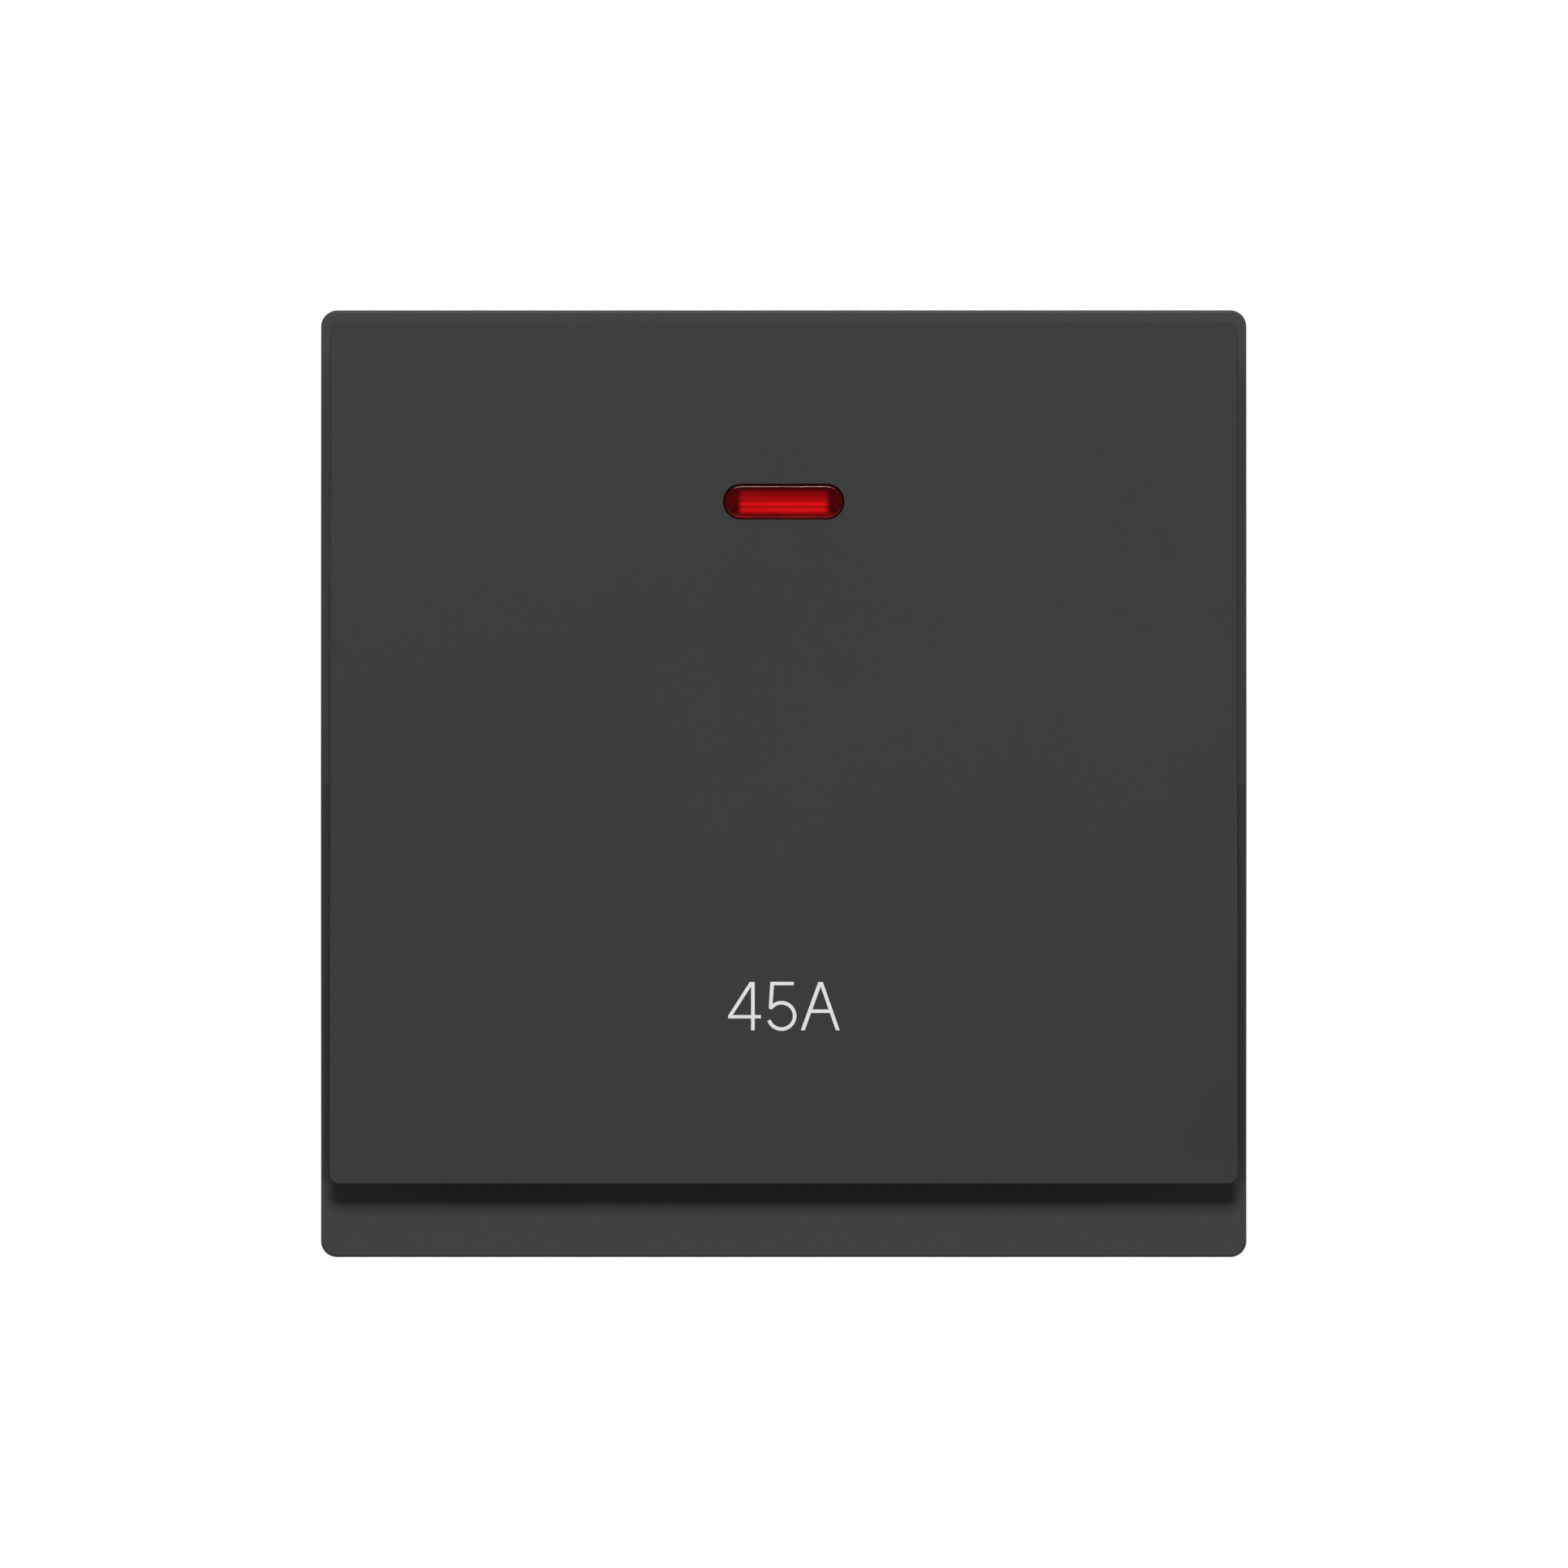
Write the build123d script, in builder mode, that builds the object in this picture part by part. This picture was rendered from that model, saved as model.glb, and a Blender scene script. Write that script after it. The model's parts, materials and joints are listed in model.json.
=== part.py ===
from build123d import *

import os
from math import cos, radians, sin, tan

# A one-gang double pole wall switch. The origin is the middle of the plate on the wall's surface, the front faces
# -Y, and +Z is up. It is drawn with the rocker's top pressed in, which is ON.

# Face plate
plate_width = 86.0
plate_height = 88.0
plate_depth = 7.0
plate_corner_radius = 1.5
plate_edge_radius = 0.2
rim_height = 5.3
rim_slope = 6.8
rim_bend_radius = 50.0
band_slope = 6.0
band_thickness = 2.0
foot_wall = 2.0
band_rib_width = 1.2
band_rib_pitch = 20.0
band_rib_length = 3.6
band_rib_depth = 2.2
pry_notch_width = 9.0
pry_notch_height = 1.3

# Rocker cover, with what the plate shows around it
rocker_travel = 6.4
pivot_height = 3.2
side_reveal = 0.87
top_reveal = 1.15
band_height = 6.88
lip_clearance = 0.22
lip_thickness = 0.5
panel_thickness = 2.0
cover_corner_radius = 1.0
cover_edge_radius = 0.05
skirt_inset = 1.4
skirt_wall = 1.3
skirt_length = 4.7
skirt_side_clearance = 0.27
skirt_end_clearance = 0.35
cover_rib_width = 1.1
cover_rib_height = 1.2
long_rib_spacing = 72.0
lens_rib_rise = 8.2
foot_rib_rise = 10.6

# Indicator lens and its slot in the cover
lens_from_top = 17.8
lens_width = 11.1
lens_height = 3.15
lens_clearance = 0.1
lens_proud = 0.1
lens_edge_radius = 0.22
lens_front_wall = 1.2
lens_pocket_width = 8.5
lens_pocket_height = 2.25
lens_flange_margin = 1.25
lens_flange_thickness = 0.9
lens_guide_wall = 1.0

# Rocker carrier: deck, trunnions and plunger tubes
carrier_length = 25.0
carrier_corner_radius = 1.5
deck_bottom = 1.6
deck_thickness = 2.2
cheek_radius = 3.0
cheek_thickness = 2.0
trunnion_radius = 2.0
trunnion_clearance = 0.05
trunnion_length = 3.2
tube_radius = 3.6
tube_reach = 9.6
tube_roof = 1.6
carrier_rib_width = 1.2
carrier_rib_depth = 1.8
carrier_rib_spacing = 10.0
seat_ring_width = 34.0
seat_ring_length = 18.0
seat_ring_wall = 1.2
clip_spacing = 30.0
clip_width = 6.0
clip_thickness = 1.3
clip_clearance = 0.15
clip_barb_reach = 0.8
clip_barb_height = 1.0

# Plungers and springs
pole_offset = 12.5
plunger_reach = 14.0
plunger_radius = 2.2
plunger_clearance = 0.1
plunger_length = 9.0
spigot_radius = 1.15
spigot_length = 1.5
spring_wire_radius = 0.3
spring_turns = 5
spring_clearance = 0.25
spring_end_gap = 0.05

# Contact blades, contacts and the gaps between them
blade_travel = 18.0
blade_thickness = 1.4
blade_width = 6.4
blade_half_length = 11.6
blade_end_radius = 1.2
blade_plunger_gap = 0.1
ear_radius = 0.9
ear_length = 1.8
ear_root = 0.5
ear_clearance = 0.06
contact_reach = 9.8
contact_radius = 1.9
contact_height = 1.0
contact_edge_radius = 0.3
closed_gap = 0.08

# Terminals
terminal_offset = 14.0
terminal_inner = 15.0
terminal_length = 11.8
terminal_width = 10.0
terminal_front = 10.5
terminal_thickness = 10.5
terminal_edge = 0.4
wire_bore_radius = 2.9
wire_bore_length = 10.2
strip_thickness = 1.5
strip_width = 7.0
cradle_height = 3.7
cradle_wall = 1.2
cradle_half_length = 2.6
cradle_rise = 1.3
cradle_side_gap = 0.4
strip_tail = 3.2
stop_bead_reach = 10.8
stop_bead_radius = 1.0
seat_margin = 0.6

# Earth terminal
earth_width = 7.0
earth_thickness = 9.0
earth_bore_radius = 2.2

# Terminal screws, drawn backed out so that the wire bores are clear
screw_spacing = 6.4
screw_radius = 2.0
screw_thread_gap = 0.05
screw_head_radius = 2.6
screw_head_height = 2.2
screw_recess = 0.8
screw_tip_gap = 0.1
screw_slot_width = 0.9
screw_slot_depth = 1.0
screw_access_gap = 0.25

# Rear housing
base_rear_wall = 4.0
base_end_wall = 2.0
base_side_wall = 2.2
base_corner_radius = 2.5
base_edge_radius = 1.0
pocket_clearance = 0.2
pole_web = 13.4
web_pocket_wall = 2.9
web_pocket_depth = 19.0
earth_wall = 2.0
window_margin = 0.8
window_corner_radius = 1.0
lug_offset = 25.3
lug_height = 20.0
lug_radius = 3.4
lug_thickness = 4.0
rear_panel_width = 15.0
rear_panel_height = 20.0
rear_panel_recess = 0.8

# Screws that hold the base to the yoke
base_screw_radius = 1.4
base_screw_gap = 0.1
base_screw_pilot_gap = 0.05
base_screw_bite = 4.5
base_screw_head_radius = 2.7
base_screw_head_height = 1.8

# Mounting yoke
yoke_thickness = 2.0
yoke_clearance = 0.25
yoke_corner_radius = 1.0
yoke_window_height = 18.0
yoke_window_gap = 0.5
fixing_spacing = 60.3
fixing_slot_width = 4.2
fixing_slot_length = 7.2
fixing_pad_margin = 2.4
fixing_pad_height = 0.6
bearing_gap = 0.8
bearing_thickness = 2.6
bearing_wall = 1.6
bearing_mouth = 3.3
boss_radius = 3.0
boss_height = 4.0
yoke_rib_width = 1.2
yoke_rib_height = 1.0
yoke_rib_length = 62.0
yoke_rib_spacing = 66.0
yoke_pocket_width = 20.0
yoke_pocket_height = 8.0
yoke_pocket_depth = 0.9
yoke_pocket_spacing_x = 46.0
yoke_pocket_spacing_z = 66.0

# Snap barbs that hold the plate to the yoke
barb_length = 10.0
barb_spacing = 48.0
barb_reach = 0.8
barb_height = 0.8
barb_top = 1.1
barb_clearance = 0.15

# Indicator lamp on the yoke
lamp_radius = 1.6
lamp_length = 10.5
lamp_left = -5.0
lamp_lift = 0.2
pinch_length = 1.5
pinch_width = 2.4
pinch_thickness = 1.2
saddle_spacing = 6.0
saddle_thickness = 1.4
saddle_width = 5.2
saddle_gap = 0.05
lead_radius = 0.4
lead_spacing = 1.2
lead_bend_radius = 1.2
lead_hole_radius = 1.0
lead_row = 21.0
resistor_rise = 3.8
resistor_radius = 1.1
resistor_length = 6.4
resistor_edge_radius = 0.5

# Rocker geometry worked out from the plate. v runs up the rocker's face and w out of it, from the pivot axis.
half_tilt = radians(rocker_travel / 2)
tilt_sin = sin(half_tilt)
tilt_cos = cos(half_tilt)
cover_top = plate_height / 2 - top_reveal
cover_bottom = plate_height / 2 - band_height
top_edge_rise = plate_depth + lip_clearance + lip_thickness - pivot_height
face_height = cover_top * tilt_sin + top_edge_rise * tilt_cos
cover_top_reach = cover_top * tilt_cos - top_edge_rise * tilt_sin
cover_bottom_reach = (cover_bottom + face_height * tilt_sin) / tilt_cos
cover_width = plate_width - 2 * side_reveal
cover_length = cover_top_reach + cover_bottom_reach
cover_middle = (cover_top_reach - cover_bottom_reach) / 2
lip_underside = face_height - lip_thickness
panel_underside = face_height - panel_thickness
skirt_bottom = lip_underside - skirt_length
skirt_width = cover_width - 2 * skirt_inset
skirt_span = cover_length - 2 * skirt_inset
lens_centre = plate_height / 2 - lens_from_top
lens_reach = (lens_centre - face_height * tilt_sin) / tilt_cos
lens_flange_bottom = panel_underside - lens_flange_thickness
lens_flange_width = lens_width + 2 * lens_flange_margin
lens_flange_height = lens_height + 2 * lens_flange_margin
deck_top = deck_bottom + deck_thickness

# The plate's side rails lie under the rocker's lip at whichever end is pressed in, so they meet in a ridge at the
# pivot. The rim at the top and the band across the foot both lean back a little more than the pressed rocker.
rail_slope = tilt_sin / tilt_cos
ridge_depth = pivot_height + lip_underside / tilt_cos - lip_clearance
rim_foot = plate_height / 2 - rim_height
rim_foot_depth = ridge_depth - rim_foot * rail_slope
rim_top_depth = rim_foot_depth - rim_height * tan(radians(rim_slope))
band_depth = ridge_depth - cover_bottom * rail_slope
band_foot_depth = band_depth + band_height * tan(radians(band_slope))

# The window in the plate clears the skirt over the rocker's whole swing
swing = lip_underside * tilt_sin
window_half_width = skirt_width / 2 + skirt_side_clearance
window_top = (cover_top_reach - skirt_inset) * tilt_cos + swing + skirt_end_clearance
window_bottom = (cover_bottom_reach - skirt_inset) * tilt_cos + swing + skirt_end_clearance
cavity_foot = plate_height / 2 - foot_wall

# Widths that the housing, the yoke's window and the carrier share
pocket_outer = terminal_offset + terminal_width / 2 + pocket_clearance
base_width = 2 * (pocket_outer + base_side_wall)
pocket_end = terminal_inner + terminal_length + pocket_clearance
base_height = 2 * (pocket_end + base_end_wall)
pocket_depth = terminal_front + terminal_thickness
base_depth = pocket_depth + base_rear_wall
carrier_width = base_width - 2 * yoke_window_gap
yoke_window_width = carrier_width + 2 * yoke_window_gap
bearing_inner = carrier_width / 2 + bearing_gap

# Depths of the contact system behind the wall's surface
blade_depth = plunger_reach + blade_thickness / 2 + blade_plunger_gap - pivot_height
strip_front = blade_depth + cradle_height
bore_depth = terminal_front + terminal_thickness / 2
earth_front = pocket_depth - earth_thickness
earth_bore_depth = earth_front + earth_thickness / 2
terminal_outer = terminal_inner + terminal_length
terminal_middle = terminal_inner + terminal_length / 2
blade_angle = radians(blade_travel / 2)
tube_bore_radius = plunger_radius + plunger_clearance
tube_bore_top = deck_top - tube_roof
plunger_top = plunger_length - plunger_reach
cradle_half_width = blade_width / 2 + cradle_side_gap + cradle_wall
lamp_height = yoke_thickness + lamp_lift + lamp_radius
resistor_row = lens_centre + resistor_rise

# Poles seen from the front: the live pole is on the right
poles = (("live", 1), ("neutral", -1))

os.makedirs("parts", exist_ok=True)


def front(height):
    """A plane parallel to the wall, this far in front of its surface."""
    return Plane.XZ.offset(height)


def behind(depth):
    """A plane parallel to the wall, this far behind its surface."""
    return Plane.XZ.offset(-depth)


def on_rocker(height):
    """A plane parallel to the rocker's face, this far in front of its pivot axis."""
    return Plane((0, -pivot_height, 0), (1, 0, 0), (0, -tilt_cos, tilt_sin)).offset(height)


def rocker_side(x):
    """A plane across the rocker's pivot axis, with v along its x and w along its y."""
    return Plane((x, -pivot_height, 0), (0, tilt_sin, tilt_cos), (1, 0, 0))


def on_blade(x, height):
    """A plane parallel to the closed blade at x, this far in front of its pivot axis."""
    normal = (0, -cos(blade_angle), -sin(blade_angle))
    return Plane((x, blade_depth, 0), (1, 0, 0), normal).offset(height)


def blade_point(v, w):
    """Depth and height of a point v up the closed blade and w in front of it."""
    depth = blade_depth - v * sin(blade_angle) - w * cos(blade_angle)
    height = v * cos(blade_angle) - w * sin(blade_angle)
    return (depth, height)


def finish(piece, name):
    """Label a finished piece and write it."""
    piece.part.label = name
    export_step(piece.part, f"parts/{name}.step")


# Face plate: ridged side rails between a leaning rim at the top and a leaning band across the foot
with BuildPart() as trim_frame:
    with BuildSketch(front(0)):
        RectangleRounded(plate_width, plate_height, plate_corner_radius)
    extrude(amount=ridge_depth)
    with BuildSketch(Plane.YZ) as side_profile:
        with BuildLine():
            Polyline(
                (0, plate_height / 2),
                (-rim_top_depth, plate_height / 2),
                (-rim_foot_depth, rim_foot),
                (-ridge_depth, 0),
                (-band_depth, -cover_bottom),
                (-band_foot_depth, -plate_height / 2),
                (0, -plate_height / 2),
                close=True,
            )
        make_face()
        rim_bend = side_profile.vertices().sort_by_distance((-rim_foot_depth, rim_foot))[0]
        fillet(rim_bend, rim_bend_radius)
    extrude(amount=plate_width / 2, both=True, mode=Mode.INTERSECT)
    front_edges = trim_frame.edges().filter_by(lambda edge: edge.center().Y < band_thickness - plate_depth)
    across_edges = front_edges.filter_by(Axis.X).sort_by(Axis.Z)[1:-1]
    fillet(front_edges - across_edges, plate_edge_radius)
    with BuildSketch(front(0)):
        with Locations((0, (window_top - window_bottom) / 2)):
            Rectangle(2 * window_half_width, window_top + window_bottom)
    extrude(amount=ridge_depth, mode=Mode.SUBTRACT)
    with BuildSketch(front(0)):
        with Locations((0, -(cavity_foot + window_bottom) / 2)):
            Rectangle(2 * window_half_width, cavity_foot - window_bottom)
    extrude(amount=band_depth - band_thickness, mode=Mode.SUBTRACT)
    with BuildSketch(front(band_depth - band_thickness)):
        with Locations((0, -cavity_foot + band_rib_length / 2)):
            with GridLocations(band_rib_pitch, 0, 4, 1):
                Rectangle(band_rib_width, band_rib_length)
    extrude(amount=-band_rib_depth)
    with BuildSketch(front(0)):
        with Locations((0, -plate_height / 2)):
            Rectangle(pry_notch_width, 2 * foot_wall)
    extrude(amount=pry_notch_height, mode=Mode.SUBTRACT)
    for height in (-barb_spacing / 2, barb_spacing / 2):
        with BuildSketch(Plane.XY.offset(height - barb_length / 2)):
            with BuildLine():
                Polyline(
                    (window_half_width, -barb_top + barb_height),
                    (window_half_width - barb_reach, -barb_top),
                    (window_half_width, -barb_top),
                    close=True,
                )
            make_face()
            mirror(about=Plane.YZ)
        extrude(amount=barb_length)
finish(trim_frame, "trim_frame")

# Rocker cover: a panel with a thin lip round a deep skirt, ribbed and clipped behind
with BuildPart() as rocker_cover:
    with BuildSketch(on_rocker(lip_underside)):
        with Locations((0, cover_middle)):
            RectangleRounded(cover_width, cover_length, cover_corner_radius)
    extrude(amount=lip_thickness)
    fillet(rocker_cover.faces().sort_by(Axis.Y)[0].edges(), cover_edge_radius)
    with BuildSketch(on_rocker(skirt_bottom)):
        with Locations((0, cover_middle)):
            Rectangle(skirt_width, skirt_span)
    extrude(amount=skirt_length)
    with BuildSketch(on_rocker(skirt_bottom)):
        with Locations((0, cover_middle)):
            Rectangle(skirt_width - 2 * skirt_wall, skirt_span - 2 * skirt_wall)
    extrude(amount=panel_underside - skirt_bottom, mode=Mode.SUBTRACT)
    with BuildSketch(on_rocker(panel_underside)):
        with Locations((0, cover_middle)):
            with GridLocations(long_rib_spacing, 0, 2, 1):
                Rectangle(cover_rib_width, skirt_span - skirt_wall)
        with Locations((0, lens_reach + lens_rib_rise), (0, foot_rib_rise - cover_bottom_reach)):
            Rectangle(skirt_width - skirt_wall, cover_rib_width)
    extrude(amount=-cover_rib_height)
    with BuildSketch(on_rocker(deck_top)):
        Rectangle(seat_ring_width, seat_ring_length)
        offset(amount=-seat_ring_wall, mode=Mode.SUBTRACT)
    extrude(amount=panel_underside - deck_top)
    for side in (-1, 1):
        clip_inner = carrier_length / 2 + clip_clearance
        with BuildSketch(on_rocker(panel_underside)):
            with Locations((0, side * (clip_inner + clip_thickness / 2))):
                with GridLocations(clip_spacing, 0, 2, 1):
                    Rectangle(clip_width, clip_thickness)
        extrude(amount=deck_bottom - clip_clearance - clip_barb_height - panel_underside)
        for x in (-clip_spacing / 2, clip_spacing / 2):
            with BuildSketch(rocker_side(x - clip_width / 2)):
                with BuildLine():
                    Polyline(
                        (side * clip_inner, deck_bottom - clip_clearance),
                        (side * (clip_inner - clip_barb_reach), deck_bottom - clip_clearance),
                        (side * clip_inner, deck_bottom - clip_clearance - clip_barb_height),
                        close=True,
                    )
                make_face()
            extrude(amount=clip_width)
    with BuildSketch(on_rocker(lens_flange_bottom)):
        with Locations((0, lens_reach)):
            guide_gap = 2 * lens_clearance
            Rectangle(
                lens_flange_width + guide_gap + 2 * lens_guide_wall,
                lens_flange_height + guide_gap + 2 * lens_guide_wall,
            )
            Rectangle(
                lens_flange_width + guide_gap,
                lens_flange_height + guide_gap,
                mode=Mode.SUBTRACT,
            )
    extrude(amount=lens_flange_thickness)
    with BuildSketch(on_rocker(panel_underside)):
        with Locations((0, lens_reach)):
            SlotOverall(lens_width + 2 * lens_clearance, lens_height + 2 * lens_clearance)
    extrude(amount=panel_thickness, mode=Mode.SUBTRACT)
finish(rocker_cover, "rocker_cover")

# Indicator lens: a rounded slot of red plastic on a flange, with a pocket for the lamp's light
with BuildPart() as indicator_lens:
    with BuildSketch(on_rocker(panel_underside)):
        with Locations((0, lens_reach)):
            SlotOverall(lens_width, lens_height)
    extrude(amount=panel_thickness + lens_proud)
    fillet(indicator_lens.faces().sort_by(Axis.Y)[0].edges(), lens_edge_radius)
    with BuildSketch(on_rocker(lens_flange_bottom)):
        with Locations((0, lens_reach)):
            Rectangle(lens_flange_width, lens_flange_height)
    extrude(amount=lens_flange_thickness)
    with BuildSketch(on_rocker(lens_flange_bottom)):
        with Locations((0, lens_reach)):
            Rectangle(lens_pocket_width, lens_pocket_height)
    extrude(
        amount=lens_flange_thickness + panel_thickness + lens_proud - lens_front_wall,
        mode=Mode.SUBTRACT,
    )
finish(indicator_lens, "indicator_lens")

# Rocker carrier: a ribbed deck with a trunnion at each end and a blind tube for each plunger
with BuildPart() as rocker_carrier:
    with BuildSketch(on_rocker(deck_bottom)):
        RectangleRounded(carrier_width, carrier_length, carrier_corner_radius)
    extrude(amount=deck_thickness)
    with BuildSketch(on_rocker(deck_bottom)):
        with GridLocations(2 * pole_offset, 0, 2, 1):
            Circle(tube_radius)
    extrude(amount=-(deck_bottom + tube_reach))
    with BuildSketch(on_rocker(deck_bottom)):
        with GridLocations(0, carrier_rib_spacing, 1, 2):
            Rectangle(carrier_width, carrier_rib_width)
    extrude(amount=-carrier_rib_depth)
    for side in (-1, 1):
        with BuildSketch(rocker_side(side * carrier_width / 2)):
            Circle(cheek_radius)
            with Locations((0, deck_bottom / 2)):
                Rectangle(2 * cheek_radius, deck_bottom)
        extrude(amount=-side * cheek_thickness)
        with BuildSketch(rocker_side(side * carrier_width / 2)):
            Circle(trunnion_radius)
        extrude(amount=side * trunnion_length)
    with BuildSketch(on_rocker(-tube_reach)):
        with GridLocations(2 * pole_offset, 0, 2, 1):
            Circle(tube_bore_radius)
    extrude(amount=tube_reach + tube_bore_top, mode=Mode.SUBTRACT)
finish(rocker_carrier, "rocker_carrier")

# Mounting yoke: fixing slots, snap-in bearings, screw bosses and the lamp's saddles on one plate
with BuildPart() as mounting_yoke:
    yoke_half_width = window_half_width - yoke_clearance
    yoke_top = window_top - yoke_clearance
    yoke_foot = cavity_foot - yoke_clearance
    with BuildSketch(front(0)):
        with Locations((0, (yoke_top - yoke_foot) / 2)):
            RectangleRounded(2 * yoke_half_width, yoke_top + yoke_foot, yoke_corner_radius)
    extrude(amount=yoke_thickness)
    with BuildSketch(front(yoke_thickness)):
        with GridLocations(fixing_spacing, 0, 2, 1):
            SlotOverall(
                fixing_slot_length + 2 * fixing_pad_margin,
                fixing_slot_width + 2 * fixing_pad_margin,
            )
    extrude(amount=fixing_pad_height)
    with BuildSketch(front(yoke_thickness)):
        with GridLocations(2 * lug_offset, 2 * lug_height, 2, 2):
            Circle(boss_radius)
    extrude(amount=boss_height)
    with BuildSketch(front(yoke_thickness)):
        with GridLocations(0, yoke_rib_spacing, 1, 2):
            Rectangle(yoke_rib_length, yoke_rib_width)
    extrude(amount=yoke_rib_height)
    bearing_radius = trunnion_radius + trunnion_clearance
    for side in (-1, 1):
        with BuildSketch(Plane.YZ.offset(side * bearing_inner)):
            with Locations((-pivot_height, 0)):
                Circle(bearing_radius + bearing_wall)
            with Locations((-pivot_height / 2, 0)):
                Rectangle(pivot_height, 2 * (bearing_radius + bearing_wall))
        extrude(amount=side * bearing_thickness)
        with BuildSketch(Plane.YZ.offset(side * carrier_width / 2)):
            with Locations((-pivot_height, 0)):
                Circle(bearing_radius)
            with Locations((-pivot_height - bearing_radius, 0)):
                Rectangle(2 * bearing_radius, bearing_mouth)
        extrude(amount=side * (bearing_gap + bearing_thickness), mode=Mode.SUBTRACT)
    for x in (-saddle_spacing / 2, saddle_spacing / 2):
        with BuildSketch(Plane.YZ.offset(x - saddle_thickness / 2)):
            with Locations((-(yoke_thickness + lamp_height) / 2, lens_centre)):
                Rectangle(lamp_height - yoke_thickness, saddle_width)
            with Locations((-lamp_height, lens_centre)):
                Circle(lamp_radius + saddle_gap, mode=Mode.SUBTRACT)
        extrude(amount=saddle_thickness)
    with BuildSketch(front(0)):
        Rectangle(yoke_window_width, yoke_window_height)
        with GridLocations(fixing_spacing, 0, 2, 1):
            SlotOverall(fixing_slot_length, fixing_slot_width)
        with Locations((0, lead_row)):
            with GridLocations(2 * terminal_offset, 0, 2, 1):
                Circle(lead_hole_radius)
    extrude(amount=yoke_thickness + fixing_pad_height, mode=Mode.SUBTRACT)
    with BuildSketch(front(0)):
        with GridLocations(2 * lug_offset, 2 * lug_height, 2, 2):
            Circle(base_screw_radius + base_screw_pilot_gap)
    extrude(amount=base_screw_bite + base_screw_gap, mode=Mode.SUBTRACT)
    with BuildSketch(front(0)):
        with GridLocations(yoke_pocket_spacing_x, yoke_pocket_spacing_z, 2, 2):
            Rectangle(yoke_pocket_width, yoke_pocket_height)
    extrude(amount=yoke_pocket_depth, mode=Mode.SUBTRACT)
    with BuildSketch(front(0)):
        with GridLocations(2 * window_half_width, barb_spacing, 2, 2):
            Rectangle(2 * (barb_reach + barb_clearance), barb_length + 2 * barb_clearance)
    extrude(amount=barb_top + barb_clearance, mode=Mode.SUBTRACT)
finish(mounting_yoke, "mounting_yoke")

# Rear housing: a chamber for each pole with its two terminals, and an earth terminal between
with BuildPart() as switch_base:
    with BuildSketch(front(0)):
        RectangleRounded(base_width, base_height, base_corner_radius)
    extrude(amount=-base_depth)
    fillet(switch_base.faces().sort_by(Axis.Y)[-1].edges(), base_edge_radius)
    with BuildSketch(front(0)):
        for side in (-1, 1):
            with Locations((side * (pocket_outer + lug_offset) / 2, 0)):
                with GridLocations(0, 2 * lug_height, 1, 2):
                    SlotOverall(lug_offset - pocket_outer + 2 * lug_radius, 2 * lug_radius)
    extrude(amount=-lug_thickness)
    with BuildSketch(front(0)):
        for side in (-1, 1):
            with Locations((side * (pocket_outer + pole_web / 2) / 2, 0)):
                Rectangle(pocket_outer - pole_web / 2, 2 * pocket_end)
        with Locations((0, -(terminal_inner + pocket_end - pocket_clearance) / 2)):
            Rectangle(earth_width + 2 * pocket_clearance, pocket_end - terminal_inner + pocket_clearance)
    extrude(amount=-pocket_depth, mode=Mode.SUBTRACT)
    with BuildSketch(front(0)):
        web_pocket_foot = terminal_inner - 2 * pocket_clearance - earth_wall
        with Locations((0, (pocket_end - web_pocket_foot) / 2)):
            Rectangle(pole_web - 2 * web_pocket_wall, pocket_end + web_pocket_foot)
    extrude(amount=-web_pocket_depth, mode=Mode.SUBTRACT)
    with BuildSketch(Plane.XY.offset(base_height / 2)):
        wire_window = 2 * (wire_bore_radius + window_margin)
        with Locations((-terminal_offset, bore_depth), (terminal_offset, bore_depth)):
            RectangleRounded(wire_window, wire_window, window_corner_radius)
    extrude(amount=-base_height, mode=Mode.SUBTRACT)
    with BuildSketch(Plane.XY.offset(-base_height / 2)):
        earth_window = 2 * (earth_bore_radius + window_margin)
        with Locations((0, earth_bore_depth)):
            RectangleRounded(earth_window, earth_window, window_corner_radius)
    extrude(amount=base_end_wall + pocket_clearance, mode=Mode.SUBTRACT)
    with BuildSketch(behind(base_depth)):
        for end in (-1, 1):
            with Locations((0, end * terminal_middle)):
                with GridLocations(2 * terminal_offset, screw_spacing, 2, 2):
                    Circle(screw_head_radius + screw_access_gap)
        with Locations((0, -terminal_middle)):
            Circle(screw_head_radius + screw_access_gap)
    extrude(amount=base_depth - pocket_depth, mode=Mode.SUBTRACT)
    with BuildSketch(behind(base_depth)):
        RectangleRounded(rear_panel_width, rear_panel_height, window_corner_radius)
    extrude(amount=rear_panel_recess, mode=Mode.SUBTRACT)
    with BuildSketch(front(0)):
        with GridLocations(2 * lug_offset, 2 * lug_height, 2, 2):
            Circle(base_screw_radius + base_screw_gap)
    extrude(amount=-lug_thickness, mode=Mode.SUBTRACT)
finish(switch_base, "switch_base")

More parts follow.
